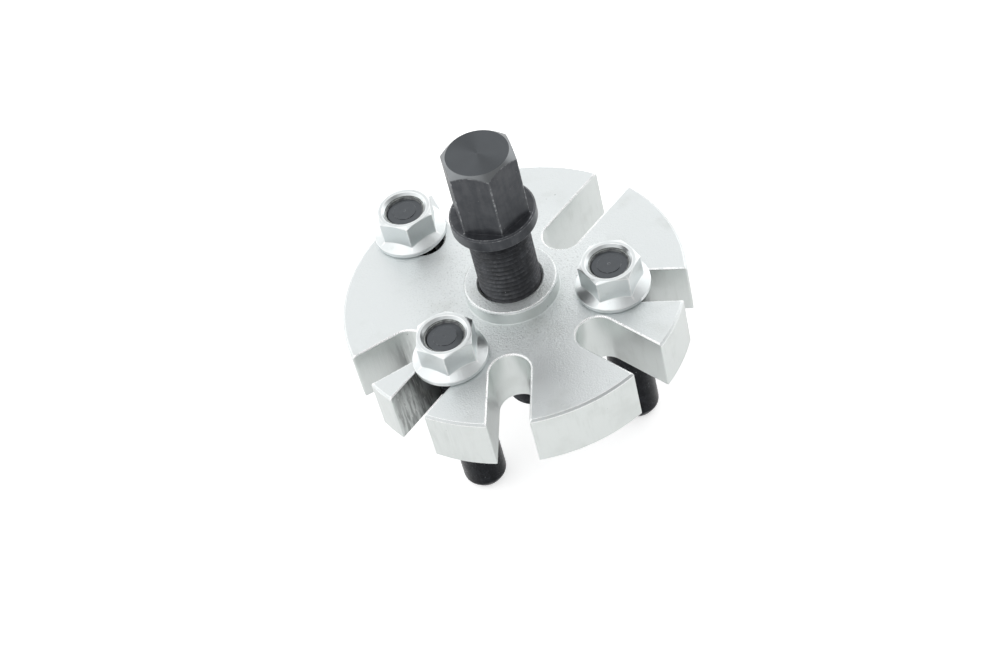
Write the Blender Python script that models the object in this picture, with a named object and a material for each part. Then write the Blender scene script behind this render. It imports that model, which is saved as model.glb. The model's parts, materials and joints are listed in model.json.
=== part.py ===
"""Slotted-plate pulley puller, standing on its three pulling legs.

Units are metres, +Z is up, and the origin is on the forcing screw's axis in the plane of the feet.
+X runs along the slot that holds leg_2. Angles are in degrees, counted from +X towards +Y.
"""

import math

import bmesh
import bpy
import numpy as np

# Plate
PLATE_RADIUS = 0.0450
PLATE_THICKNESS = 0.0156
PLATE_CHAMFER = 0.0006
BOSS_RADIUS = 0.0123
BOSS_HEIGHT = 0.0041
BOSS_CHAMFER = 0.0004
BOSS_FILLET = 0.0005
HOLE_SINK = 0.0005

# Slots: how far each round inner end lies from the screw's axis
SLOT_WIDTH = 0.0106
SLOT_CHAMFER = 0.0003
EAST_SLOT_END = 0.0210
NORTH_EAST_SLOT_END = 0.0167
NORTH_WEST_SLOT_END = 0.0210
WEST_SLOT_END = 0.0269
SOUTH_WEST_SLOT_END = 0.0263
SOUTH_SOUTH_WEST_SLOT_END = 0.0210
SOUTH_SLOT_END = 0.0226
SOUTH_EAST_SLOT_END = 0.0230

# Each slot's angle and inner end
SLOTS = {
    "east": (0.0, EAST_SLOT_END),
    "north_east": (60.0, NORTH_EAST_SLOT_END),
    "north_west": (120.0, NORTH_WEST_SLOT_END),
    "west": (145.0, WEST_SLOT_END),
    "south_west": (216.6, SOUTH_WEST_SLOT_END),
    "south_south_west": (240.5, SOUTH_SOUTH_WEST_SLOT_END),
    "south": (275.6, SOUTH_SLOT_END),
    "south_east": (326.2, SOUTH_EAST_SLOT_END),
}

# Forcing screw
SCREW_RADIUS = 0.0080
SCREW_LENGTH = 0.0638
SCREW_END_CHAMFER = 0.0012
COLLAR_LIFT = 0.02115
COLLAR_RADIUS = 0.0110
COLLAR_THICKNESS = 0.0039
COLLAR_CHAMFER = 0.0003
HEAD_ACROSS_FLATS = 0.0170
HEAD_HEIGHT = 0.01955
HEAD_FACE_RADIUS = 0.0079
HEAD_CORNER_DROP = 0.0017
HEAD_CORNER_ANGLE = 173.4

# Swivel tip in the screw's lower end
TIP_SHANK_RADIUS = 0.0025
TIP_SHANK_LENGTH = 0.0080
TIP_HEAD_RADIUS = 0.0044
TIP_HEAD_HEIGHT = 0.0020
TIP_CONE_HEIGHT = 0.0023
TIP_FACE_RADIUS = 0.0016

# Pulling legs: a threaded stud over a thicker leg
LEG_RADIUS = 0.00575
LEG_LENGTH = 0.0322
LEG_END_RADIUS = 0.0041
LEG_END_CHAMFER = 0.0024
STUD_RADIUS = 0.0050
STUD_PROUD = 0.0083
STUD_END_RADIUS = 0.0033
STUD_END_CHAMFER = 0.0009
LEG_1_SHIFT = 0.0051

# Flange nuts
NUT_ACROSS_FLATS = 0.0141
NUT_HEIGHT = 0.0090
NUT_FACE_RADIUS = 0.0069
NUT_CORNER_DROP = 0.0006
NUT_SINK = 0.00065
FLANGE_RADIUS = 0.00975
FLANGE_EDGE = 0.0012
FLANGE_EDGE_CHAMFER = 0.0002
FLANGE_RISE = 0.0017
FLANGE_TOP_RADIUS = 0.0066

# The thread of the forcing screw and the studs: a V groove with a flat crest, and a plain neck at its root
THREAD_PITCH = 0.0015
THREAD_DEPTH = 0.00092
THREAD_CREST = 0.00019
THREAD_NECK = 0.0009

# Where each leg stands: its slot, how far out of the slot's inner end, and its nut's corner angle
LEGS = {
    "1": ("west", LEG_1_SHIFT, 44.0),
    "2": ("east", 0.0, 13.0),
    "3": ("south_south_west", 0.0, 36.9),
}

# Clearances
SEAT_GAP = 0.0003
SCREW_CLEARANCE = 0.0003
STUD_CLEARANCE = 0.0003
TIP_CLEARANCE = 0.0003
CUT_MARGIN = 0.0020
BITE = 0.0010

# Facets of the round shapes. Those of a thread divide ROUND_STEPS evenly
RIM_STEPS = 144
ROUND_STEPS = 48
SCREW_THREAD_STEPS = 24
STUD_THREAD_STEPS = 16
SLOT_END_STEPS = 20
FILLET_STEPS = 3
MERGE_DISTANCE = 0.000001

# Heights that follow from the sizes above
UNDERSIDE = LEG_LENGTH + SEAT_GAP
PLATE_TOP = UNDERSIDE + PLATE_THICKNESS
COLLAR_UNDERSIDE = PLATE_TOP + BOSS_HEIGHT + COLLAR_LIFT
SCREW_END = COLLAR_UNDERSIDE - SCREW_LENGTH


def clear_scene():
    for obj in list(bpy.data.objects):
        bpy.data.objects.remove(obj)


def material(name, colour, roughness):
    made = bpy.data.materials.new(name)
    made.use_nodes = True
    shader = made.node_tree.nodes["Principled BSDF"]
    shader.inputs["Base Color"].default_value = (*colour, 1.0)
    shader.inputs["Roughness"].default_value = roughness
    shader.inputs["Metallic"].default_value = 1.0
    made.diffuse_color = (*colour, 1.0)
    return made


def finished_mesh(bm, name):
    """A mesh from a bmesh, with its faces turned outwards."""
    bmesh.ops.recalc_face_normals(bm, faces=bm.faces)
    mesh = bpy.data.meshes.new(name)
    bm.to_mesh(mesh)
    bm.free()
    return mesh


def add_object(name, mesh, finish=None, location=(0.0, 0.0, 0.0), turn=0.0, parent=None):
    obj = bpy.data.objects.new(name, mesh)
    obj.location = location
    obj.rotation_euler.z = math.radians(turn)
    obj.parent = parent
    if finish:
        mesh.materials.clear()
        mesh.materials.append(finish)
    bpy.context.scene.collection.objects.link(obj)
    return obj


def helper(name, mesh):
    """A shape that only cuts or joins: it is left out of the model."""
    obj = add_object(name, mesh)
    obj.hide_render = True
    obj.display_type = "WIRE"
    return obj


def boolean(obj, operation, other):
    modifier = obj.modifiers.new(operation.title(), "BOOLEAN")
    modifier.operation = operation
    modifier.object = other


def evaluated_copy(obj, name):
    """The object's mesh after its modifiers, so that several objects can share it."""
    graph = bpy.context.evaluated_depsgraph_get()
    mesh = bpy.data.meshes.new_from_object(obj.evaluated_get(graph))
    mesh.name = name
    return mesh


def smooth(mesh, sharp_angle=30.0):
    mesh.shade_smooth()
    mesh.set_sharp_from_angle(angle=math.radians(sharp_angle))


def rings_mesh(name, rings, closed):
    """Joins rings with quads. A ring of one point closes the shape there.

    Each ring runs from angle 0 all round to angle 0 again, where the points that fall together are merged.
    """
    bm = bmesh.new()
    loops = [[bm.verts.new(point) for point in ring] for ring in rings]
    pairs = list(zip(loops, loops[1:]))
    if closed:
        pairs.append((loops[-1], loops[0]))
    for low, high in pairs:
        steps = max(len(low), len(high)) - 1
        for i in range(steps):
            places = ((low, i), (low, i + 1), (high, i + 1), (high, i))
            corners = [loop[place * (len(loop) - 1) // steps] for loop, place in places]
            bm.faces.new(list(dict.fromkeys(corners)))
    bmesh.ops.remove_doubles(bm, verts=bm.verts, dist=MERGE_DISTANCE)
    return finished_mesh(bm, name)


def turned_rings(profile, steps=ROUND_STEPS):
    """Turns each (radius, height) pair of a profile about Z into a ring."""
    rings = []
    for radius, height in profile:
        count = steps + 1 if radius > 0.0 else 1
        angles = [math.tau * i / steps for i in range(count)]
        rings.append([(radius * math.cos(a), radius * math.sin(a), height) for a in angles])
    return rings


def turned_mesh(name, profile, steps=ROUND_STEPS):
    """A turned shape whose profile starts and ends on the axis, or closes on itself."""
    return rings_mesh(name, turned_rings(profile, steps), closed=profile[0][0] > 0.0)


def threaded_rings(outline, steps):
    """Rings of a right-hand thread that is cut into a turned outline of (radius, height) pairs, from the bottom up.

    Each ring climbs one pitch, and so ends on the start of a later ring. At the outline's two ends, which
    are no wider than the thread's root, all rings fall together into one flat ring.
    """
    radii, heights = zip(*outline)
    low, high = heights[0], heights[-1]
    crest = max(radii)
    crest_share = THREAD_CREST / THREAD_PITCH
    shape = [(0.0, crest), (crest_share, crest), ((1.0 + crest_share) / 2, crest - THREAD_DEPTH)]
    rings = []
    for turn in range(-1, math.ceil((high - low) / THREAD_PITCH) + 1):
        for share, groove_radius in shape:
            ring = []
            for i in range(steps + 1):
                angle = math.tau * i / steps
                climbed = low + THREAD_PITCH * (turn + share + i / steps)
                height = min(max(climbed, low), high)
                radius = min(groove_radius, float(np.interp(height, heights, radii)))
                ring.append((radius * math.cos(angle), radius * math.sin(angle), height))
            rings.append(ring)
    return rings


def capped_mesh(name, outlines):
    """Stacks closed outlines of equally many points and caps the first and the last."""
    bm = bmesh.new()
    loops = [[bm.verts.new(point) for point in outline] for outline in outlines]
    for low, high in zip(loops, loops[1:]):
        for i in range(len(low)):
            after = (i + 1) % len(low)
            bm.faces.new([low[i], low[after], high[after], high[i]])
    bm.faces.new(loops[0])
    bm.faces.new(loops[-1])
    return finished_mesh(bm, name)


def hexagon_mesh(name, across_flats, low, high):
    radius = across_flats / math.sqrt(3.0)
    angles = [math.tau * i / 6 for i in range(6)]
    outline = [(radius * math.cos(a), radius * math.sin(a)) for a in angles]
    return capped_mesh(name, [[(x, y, z) for x, y in outline] for z in (low, high)])


def chamfered_hexagon(name, across_flats, low, top, face_radius, corner_drop):
    """A hexagon whose upper corners are turned off by a cone that starts at face_radius."""
    corner_radius = across_flats / math.sqrt(3.0)
    slope = corner_drop / (corner_radius - face_radius)
    outer = corner_radius + CUT_MARGIN
    hexagon = helper(name, hexagon_mesh(name, across_flats, low, top + CUT_MARGIN))
    envelope = turned_mesh(
        name + "_cone",
        [
            (0.0, low - CUT_MARGIN),
            (outer, low - CUT_MARGIN),
            (outer, top - slope * (outer - face_radius)),
            (face_radius, top),
            (0.0, top),
        ],
    )
    boolean(hexagon, "INTERSECT", helper(name + "_cone", envelope))
    return hexagon


def slot_outline(angle, inner_end, offset, height):
    """A slot's outline, grown by offset: straight sides that run past the rim, and a round inner end."""
    half = SLOT_WIDTH / 2 + offset
    centre = inner_end + SLOT_WIDTH / 2
    outside = PLATE_RADIUS + CUT_MARGIN
    points = [(outside, half)]
    for i in range(SLOT_END_STEPS + 1):
        turn = math.pi / 2 + math.pi * i / SLOT_END_STEPS
        points.append((centre + half * math.cos(turn), half * math.sin(turn)))
    points.append((outside, -half))
    cos, sin = math.cos(math.radians(angle)), math.sin(math.radians(angle))
    return [(x * cos - y * sin, x * sin + y * cos, height) for x, y in points]


def slot_cutter(name, angle, inner_end):
    """Cuts one slot and the chamfers along its upper and lower edges."""
    flare = SLOT_CHAMFER + CUT_MARGIN
    levels = [
        (flare, -CUT_MARGIN),
        (0.0, SLOT_CHAMFER),
        (0.0, PLATE_THICKNESS - SLOT_CHAMFER),
        (flare, PLATE_THICKNESS + CUT_MARGIN),
    ]
    outlines = [slot_outline(angle, inner_end, offset, height) for offset, height in levels]
    return helper("slot_" + name, capped_mesh("slot_" + name, outlines))


def boss_fillet():
    """The concave corner between the plate and its boss, from the plate up."""
    points = []
    for i in range(FILLET_STEPS + 1):
        turn = math.pi / 2 * i / FILLET_STEPS
        radius = BOSS_RADIUS + BOSS_FILLET * (1 - math.sin(turn))
        points.append((radius, PLATE_THICKNESS + BOSS_FILLET * (1 - math.cos(turn))))
    return points


def make_plate(finish, parent):
    """One forged disc with its boss, threaded hole and open slots; its origin is on its underside."""
    hole = SCREW_RADIUS + SCREW_CLEARANCE
    boss_top = PLATE_THICKNESS + BOSS_HEIGHT
    profile = [
        (hole, 0.0),
        (PLATE_RADIUS - PLATE_CHAMFER, 0.0),
        (PLATE_RADIUS, PLATE_CHAMFER),
        (PLATE_RADIUS, PLATE_THICKNESS - PLATE_CHAMFER),
        (PLATE_RADIUS - PLATE_CHAMFER, PLATE_THICKNESS),
        *boss_fillet(),
        (BOSS_RADIUS, boss_top - BOSS_CHAMFER),
        (BOSS_RADIUS - BOSS_CHAMFER, boss_top),
        (hole + HOLE_SINK, boss_top),
        (hole, boss_top - HOLE_SINK),
    ]
    mesh = turned_mesh("puller_plate", profile, RIM_STEPS)
    smooth(mesh)
    plate = add_object("puller_plate", mesh, finish, (0.0, 0.0, UNDERSIDE), parent=parent)
    for name, (angle, inner_end) in SLOTS.items():
        cutter = slot_cutter(name, angle, inner_end)
        cutter.location.z = UNDERSIDE
        boolean(plate, "DIFFERENCE", cutter)
    return plate


def make_screw(finish, parent):
    """Thread, collar and hexagon head in one piece; its origin is under its collar."""
    bore = TIP_SHANK_RADIUS + TIP_CLEARANCE
    bore_top = TIP_SHANK_LENGTH + TIP_CLEARANCE - SCREW_LENGTH
    root = SCREW_RADIUS - THREAD_DEPTH
    tip_bore = [
        (0.0, bore_top),
        (bore, bore_top),
        (bore, -SCREW_LENGTH),
    ]
    thread = [
        (SCREW_RADIUS - SCREW_END_CHAMFER, -SCREW_LENGTH),
        (SCREW_RADIUS, SCREW_END_CHAMFER - SCREW_LENGTH),
        (SCREW_RADIUS, -THREAD_NECK - THREAD_DEPTH),
        (root, -THREAD_NECK),
        (root, 0.0),
    ]
    collar = [
        (COLLAR_RADIUS - COLLAR_CHAMFER, 0.0),
        (COLLAR_RADIUS, COLLAR_CHAMFER),
        (COLLAR_RADIUS, COLLAR_THICKNESS - COLLAR_CHAMFER),
        (COLLAR_RADIUS - COLLAR_CHAMFER, COLLAR_THICKNESS),
        (0.0, COLLAR_THICKNESS),
    ]
    rings = turned_rings(tip_bore) + threaded_rings(thread, SCREW_THREAD_STEPS) + turned_rings(collar)
    mesh = rings_mesh("forcing_screw", rings, closed=False)
    smooth(mesh)
    screw = add_object("forcing_screw", mesh, finish, (0.0, 0.0, COLLAR_UNDERSIDE), parent=parent)
    head = chamfered_hexagon(
        "screw_head",
        HEAD_ACROSS_FLATS,
        COLLAR_THICKNESS - BITE,
        COLLAR_THICKNESS + HEAD_HEIGHT,
        HEAD_FACE_RADIUS,
        HEAD_CORNER_DROP,
    )
    head.location.z = COLLAR_UNDERSIDE
    head.rotation_euler.z = math.radians(HEAD_CORNER_ANGLE)
    bpy.data.objects["screw_head_cone"].location.z = COLLAR_UNDERSIDE
    boolean(screw, "UNION", head)
    return screw


def make_tip(finish, parent):
    """The swivel tip: its shank turns in the screw's bore, and its origin is at the screw's lower end."""
    head_top = -TIP_CLEARANCE
    cone_top = head_top - TIP_HEAD_HEIGHT
    profile = [
        (0.0, cone_top - TIP_CONE_HEIGHT),
        (TIP_FACE_RADIUS, cone_top - TIP_CONE_HEIGHT),
        (TIP_HEAD_RADIUS, cone_top),
        (TIP_HEAD_RADIUS, head_top),
        (TIP_SHANK_RADIUS, head_top),
        (TIP_SHANK_RADIUS, TIP_SHANK_LENGTH),
        (0.0, TIP_SHANK_LENGTH),
    ]
    mesh = turned_mesh("centre_tip", profile)
    smooth(mesh)
    return add_object("centre_tip", mesh, finish, (0.0, 0.0, SCREW_END), parent=parent)


def leg_mesh():
    """Leg and stud, turned from one bar, from the foot up."""
    shoulder = LEG_LENGTH
    stud_top = PLATE_TOP + STUD_PROUD
    root = STUD_RADIUS - THREAD_DEPTH
    foot = [
        (0.0, 0.0),
        (LEG_END_RADIUS, 0.0),
        (LEG_RADIUS, LEG_END_CHAMFER),
        (LEG_RADIUS, shoulder),
    ]
    thread = [
        (root, shoulder),
        (root, shoulder + THREAD_NECK),
        (STUD_RADIUS, shoulder + THREAD_NECK + THREAD_DEPTH),
        (STUD_RADIUS, stud_top - STUD_END_CHAMFER),
        (STUD_END_RADIUS, stud_top),
    ]
    rings = turned_rings(foot) + threaded_rings(thread, STUD_THREAD_STEPS) + turned_rings([(0.0, stud_top)])
    mesh = rings_mesh("leg", rings, closed=False)
    smooth(mesh)
    return mesh


def nut_mesh():
    """A hexagon with a sloping flange and a countersunk bore; its origin is on its seat."""
    bore = STUD_RADIUS + STUD_CLEARANCE
    sink = bore + NUT_SINK
    nut = chamfered_hexagon(
        "nut_hexagon",
        NUT_ACROSS_FLATS,
        FLANGE_EDGE - BITE,
        NUT_HEIGHT,
        NUT_FACE_RADIUS,
        NUT_CORNER_DROP,
    )
    flange = turned_mesh(
        "nut_flange",
        [
            (0.0, 0.0),
            (FLANGE_RADIUS - FLANGE_EDGE_CHAMFER, 0.0),
            (FLANGE_RADIUS, FLANGE_EDGE_CHAMFER),
            (FLANGE_RADIUS, FLANGE_EDGE),
            (FLANGE_TOP_RADIUS, FLANGE_EDGE + FLANGE_RISE),
            (0.0, FLANGE_EDGE + FLANGE_RISE),
        ],
    )
    cutter = turned_mesh(
        "nut_bore",
        [
            (0.0, -CUT_MARGIN),
            (bore, -CUT_MARGIN),
            (bore, NUT_HEIGHT - NUT_SINK),
            (sink + CUT_MARGIN, NUT_HEIGHT + CUT_MARGIN),
            (0.0, NUT_HEIGHT + CUT_MARGIN),
        ],
    )
    boolean(nut, "UNION", helper("nut_flange", flange))
    boolean(nut, "DIFFERENCE", helper("nut_bore", cutter))
    mesh = evaluated_copy(nut, "flange_nut")
    smooth(mesh)
    return mesh


def make_legs(leg_finish, nut_finish, parent):
    """Each leg stands in its slot, and its nut clamps the plate from above."""
    leg, nut = leg_mesh(), nut_mesh()
    for number, (slot, shift, corner_angle) in LEGS.items():
        angle, inner_end = SLOTS[slot]
        reach = inner_end + SLOT_WIDTH / 2 + shift
        foot = (reach * math.cos(math.radians(angle)), reach * math.sin(math.radians(angle)), 0.0)
        stud = add_object("leg_" + number, leg, leg_finish, foot, parent=parent)
        seat = (0.0, 0.0, PLATE_TOP + SEAT_GAP)
        add_object("flange_nut_" + number, nut, nut_finish, seat, corner_angle, stud)


def main():
    clear_scene()
    zinc = material("bright_zinc", (0.66, 0.69, 0.69), 0.32)
    black_oxide = material("black_oxide", (0.055, 0.058, 0.065), 0.42)
    puller = add_object("pulley_puller", None)
    make_plate(zinc, puller)
    make_screw(black_oxide, puller)
    make_tip(black_oxide, puller)
    make_legs(black_oxide, zinc, puller)


main()
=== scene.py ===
# %% [markdown]
# A pulley puller draws a gear or a pulley off its shaft. Its thick plate has open slots, in which three
# legs stand at any reach, each clamped by a flange nut. Bolts or legs hold the pulley, and the long
# screw in the middle then presses on the shaft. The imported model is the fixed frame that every
# finished piece below is fitted to, so it is loaded first.

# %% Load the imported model
import json
import math

import bmesh
import bpy
import numpy as np
from mathutils import Matrix, Vector
from mathutils.geometry import delaunay_2d_cdt

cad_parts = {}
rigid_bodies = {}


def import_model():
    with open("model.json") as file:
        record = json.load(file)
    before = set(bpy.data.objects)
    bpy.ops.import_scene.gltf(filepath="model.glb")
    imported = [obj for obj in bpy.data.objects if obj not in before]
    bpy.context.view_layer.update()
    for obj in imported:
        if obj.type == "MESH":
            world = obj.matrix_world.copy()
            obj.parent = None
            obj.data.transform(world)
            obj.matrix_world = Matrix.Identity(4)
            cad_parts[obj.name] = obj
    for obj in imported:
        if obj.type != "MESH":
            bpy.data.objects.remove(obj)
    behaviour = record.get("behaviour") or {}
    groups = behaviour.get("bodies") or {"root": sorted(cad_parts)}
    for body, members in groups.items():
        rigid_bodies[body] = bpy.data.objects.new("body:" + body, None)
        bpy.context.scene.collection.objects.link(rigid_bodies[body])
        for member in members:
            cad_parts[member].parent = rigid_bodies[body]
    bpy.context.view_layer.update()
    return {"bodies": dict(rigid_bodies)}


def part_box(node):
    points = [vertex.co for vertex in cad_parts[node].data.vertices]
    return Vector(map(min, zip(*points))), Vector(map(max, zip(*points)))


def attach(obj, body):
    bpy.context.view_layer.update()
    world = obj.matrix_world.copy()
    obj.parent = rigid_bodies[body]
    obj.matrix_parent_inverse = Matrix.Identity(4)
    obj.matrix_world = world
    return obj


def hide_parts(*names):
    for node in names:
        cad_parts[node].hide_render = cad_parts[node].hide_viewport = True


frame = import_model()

MM = 0.001
print("bodies:", ", ".join(sorted(frame["bodies"])))

# %% [markdown]
# The camera comes first. A long lens looks down at the plate at 46 degrees, from the front and a
# little to the right, and it is rolled, so that the screw leans to the left in the picture. Matrix
# columns are the camera's right, up and backward directions, which hold the roll without any angles.

# %% Camera
PICTURE_WIDTH, PICTURE_HEIGHT = 1000, 662
CAMERA_PLACE = (0.11637, -0.35564, 0.43682)
CAMERA_RIGHT = Vector((0.97472, 0.12839, -0.18283))
CAMERA_FORWARD = Vector((-0.22217, 0.64325, -0.73271))
LENS_MM = 75.47
SENSOR_MM = 36.0


def new_object(name, data):
    """An object in the scene that shows this mesh, lamp or camera."""
    made = bpy.data.objects.new(name, data)
    bpy.context.scene.collection.objects.link(made)
    return made


camera_data = bpy.data.cameras.new("camera")
camera_data.lens = LENS_MM
camera_data.sensor_width = SENSOR_MM
camera = new_object("camera", camera_data)
right = CAMERA_RIGHT.normalized()
backward = -(CAMERA_FORWARD - CAMERA_FORWARD.project(right)).normalized()
turn = Matrix((right, backward.cross(right), backward)).transposed()
camera.matrix_world = Matrix.Translation(CAMERA_PLACE) @ turn.to_4x4()
bpy.context.scene.camera = camera
print(f"camera: {LENS_MM} mm lens for a picture of {PICTURE_WIDTH} x {PICTURE_HEIGHT}")

# %% [markdown]
# Nearly every piece here was turned on a lathe or is a hexagon, so its surface is a grid: columns
# stand at angles round an axis, and rows follow a profile of radius and height. A hexagon is then
# only a radius that changes with the angle, and a screw thread a height that does. Whole grids are
# worked out at once with numpy, which is quick and keeps the shape in one formula.

# %% Grids of points and faces
MERGE_DISTANCE = 0.002 * MM
SHARP_ANGLE = math.radians(38.0)


def polar_points(angles, profile, centre):
    """Rows of (radius, height) become points: x = radius times the cosine, y = radius times the sine."""
    radius, height = profile[..., 0], profile[..., 1]
    x = centre[0] + radius * np.cos(angles)
    y = centre[1] + radius * np.sin(angles)
    return np.stack([x, y, height], axis=-1)


def grid_quads(rows, columns):
    """Quads between rows and columns. They face outwards where rows climb and columns turn left."""
    corner = np.arange((rows - 1) * columns).reshape(rows - 1, columns)[:, :-1]
    return np.stack([corner, corner + 1, corner + columns + 1, corner + columns], axis=-1).reshape(-1, 4)


def mesh_from(name, points, faces, worn, finish):
    """A mesh from arrays, with points that fall together merged.

    worn has one number a point, 1 on edges and 0 on flats. finish has each face's material number.
    """
    mesh = bpy.data.meshes.new(name)
    mesh.from_pydata(points, [], faces)
    mesh.attributes.new("worn", "FLOAT", "POINT").data.foreach_set("value", worn)
    mesh.polygons.foreach_set("material_index", finish)
    bm = bmesh.new()
    bm.from_mesh(mesh)
    bmesh.ops.remove_doubles(bm, verts=bm.verts, dist=MERGE_DISTANCE)
    open_edges = sum(not edge.is_manifold for edge in bm.edges)
    volume = bm.calc_volume(signed=True)
    bm.to_mesh(mesh)
    bm.free()
    mesh.shade_smooth()
    mesh.set_sharp_from_angle(angle=SHARP_ANGLE)
    triangles = sum(len(face.vertices) - 2 for face in mesh.polygons)
    print(f"{name}: {triangles} triangles, {open_edges} open edges, {volume / MM ** 3:.0f} mm3")
    return mesh


# %% [markdown]
# No machined edge is perfectly sharp. A tool leaves a small chamfer, and plating and handling round
# it, which is what catches the light. A Bevel modifier could do this, but a profile is rounded more
# simply before it becomes a surface: each corner is replaced by a short curve, and one more point on
# each side keeps the flats beside it flat when they are shaded smooth.

# %% Rounded profiles
CURVE_STEPS = np.linspace(0.0, 1.0, 5)
# A corner becomes the rows of its curve and one more on each side, which lies HOLD times as far out
CORNER_ROWS = len(CURVE_STEPS) + 2
CORNER_MIDDLE = CORNER_ROWS // 2
HOLD = 1.7
# A cut takes no more than this share of the flat beside it
LONGEST_CUT = 0.29
TINY = 1e-12


def rounded(corners, cuts, bright=()):
    """Each corner C becomes the curve (1-t)(1-t) A + 2t(1-t) C + tt B.

    A and B lie one cut before and after the corner. corners has the shape (corners, columns, 2), so a
    profile may differ from column to column. The result is the rows of points and how much each row
    is worn, from 0 on the flats to 1 on an edge. bright lists the corners whose flat, up to the next
    corner, is worn as well, as on a chamfer.
    """
    corners = np.asarray(corners, float)
    cuts = np.asarray(cuts, float)[:, None, None]
    before = np.roll(corners, 1, axis=0) - corners
    after = np.roll(corners, -1, axis=0) - corners
    before_length = np.linalg.norm(before, axis=-1, keepdims=True) + TINY
    after_length = np.linalg.norm(after, axis=-1, keepdims=True) + TINY
    reach = np.minimum(cuts, LONGEST_CUT * np.minimum(before_length, after_length))
    start = before / before_length * reach
    end = after / after_length * reach
    t = CURVE_STEPS[:, None, None, None]
    curve = corners + (1 - t) ** 2 * start + t ** 2 * end
    rows = np.concatenate([(corners + HOLD * start)[None], curve, (corners + HOLD * end)[None]])
    worn_step = np.concatenate([[0.0], np.sin(np.pi * CURVE_STEPS), [0.0]])
    worn = np.where(cuts[:, 0, 0] > 0.0, worn_step[:, None], 0.0)
    rows[:, 0], rows[:, -1] = corners[0], corners[-1]
    worn[:, 0], worn[:, -1] = 0.0, 0.0
    for corner in bright:
        worn[CORNER_MIDDLE:, corner] = 1.0
        worn[:CORNER_MIDDLE + 1, corner + 1] = 1.0
    return np.swapaxes(rows, 0, 1).reshape(-1, *corners.shape[1:]), worn.T.ravel()


def ring(*pairs):
    """A profile that is the same all round: (radius, height) pairs in metres, as one column."""
    return np.array(pairs, float)[:, None, :]


def lathe(name, angles, bands, centre=(0.0, 0.0)):
    """Stacks bands of (profile rows, worn, finish number) into one surface round an axis at centre.

    worn has one number a row, or one a row and column.
    """
    columns = len(angles)
    rows = [np.broadcast_to(profile, (len(profile), columns, 2)) for profile, worn, finish in bands]
    worn = [np.broadcast_to(np.reshape(worn, (len(profile), -1)), profile.shape[:2])
            for profile, (_, worn, _) in zip(rows, bands)]
    finish = np.concatenate([np.full(len(profile), finish) for profile, worn, finish in bands])
    points = polar_points(angles, np.concatenate(rows), centre).reshape(-1, 3)
    faces = grid_quads(len(finish), columns)
    return mesh_from(name, points, faces, np.concatenate(worn).ravel(), np.repeat(finish[1:], columns - 1))


print("an edge is", CORNER_ROWS - 1, "strips wide")

# %% [markdown]
# A screw thread is a groove that climbs one pitch for each turn. Metric threads have sides at 60
# degrees to each other, a narrow flat crest and a wider root. Wrapping a picture of grooves round a
# cylinder would not show at the outline, and a Screw modifier leaves open ends. Here the rows of the
# grid climb with the angle, so they follow the crest and the root exactly, and they are cut off at
# both ends, where their points fall together and merge.

# %% Screw threads
PITCH = 1.5 * MM
THREAD_DEPTH = 0.92 * MM
# How far through the pitch, and how high above the root as a share of the depth
THREAD_SHAPE = np.array([
    (0.000, 0.93), (0.035, 1.00), (0.100, 1.00), (0.135, 0.93),
    (0.450, 0.07), (0.510, 0.00), (0.615, 0.00), (0.675, 0.07),
])
# From this share of the depth up a row is on the crest, and is worn that much
CREST_SHARE = 0.9
CREST_RUB = 0.2
# Turns more than needed, below and above, which the cut at both ends takes off
TURNS_BELOW, TURNS_ABOVE = 3, 2


def thread_band(angles, low, high, start, crest, limit, inside=False):
    """Rows that climb as the thread does, and are cut off at low and high.

    Height = start + pitch times (turn number + share of the pitch + angle as a share of a turn). A bar
    and its hole have the same start, so that one thread runs in the other. limit is a list of (height,
    radius) pairs: the thread stays inside that outline where it is cut on a bar, and outside it where
    it is cut in a hole.
    """
    first = math.floor((low - start) / PITCH) - TURNS_BELOW
    last = math.ceil((high - start) / PITCH) + TURNS_ABOVE
    turns = np.arange(first, last)[:, None] + THREAD_SHAPE[:, 0]
    height = start + PITCH * (turns.reshape(-1, 1) + angles / math.tau)
    height = np.clip(height, low, high)
    radius = crest - THREAD_DEPTH * (1.0 - np.tile(THREAD_SHAPE[:, 1], last - first))
    outline = np.interp(height, *np.array(limit, float).T)
    keep = np.maximum if inside else np.minimum
    profile = np.stack([keep(radius[:, None], outline), height], axis=-1)
    crests = np.tile(np.where(THREAD_SHAPE[:, 1] > CREST_SHARE, CREST_RUB, 0.0), last - first)
    return (profile[::-1], crests[::-1]) if inside else (profile, crests)


def hole_limit(low, high, root):
    """The limit of a hole's thread, which runs out at both mouths."""
    crest = root - THREAD_DEPTH
    return [(low, root), (low + THREAD_DEPTH, crest), (high - THREAD_DEPTH, crest), (high, root)]


print(f"thread: pitch {PITCH / MM} mm, depth {THREAD_DEPTH / MM} mm")

# %% [markdown]
# Both the screw's head and the nuts are hexagons. A rolled hexagon bar has corners that are rounded a
# little, and its end is turned to a cone, which leaves the curved edges seen on every bolt head. The
# radius of a hexagon at an angle is the distance to its flat divided by a cosine. The columns crowd
# together near each corner, so that the rounding keeps its shape.

# %% Hexagons
CORNER_ROUNDING = 0.3 * MM
# Columns beside a corner, and how far its wear reaches, where 1 is the end of its rounding
CORNER_COLUMNS = np.array([0.0, 0.35, 0.7, 1.0, 1.9])
CORNER_WEAR_REACH = 1.4


def hexagon_corner(across):
    """How far out the centre of a corner's rounding lies, and the angle at which it meets the flat."""
    distance = (across / 2 - CORNER_ROUNDING) / math.cos(math.pi / 6)
    return distance, math.pi / 6 - math.atan2(distance / 2, across / 2)


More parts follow.
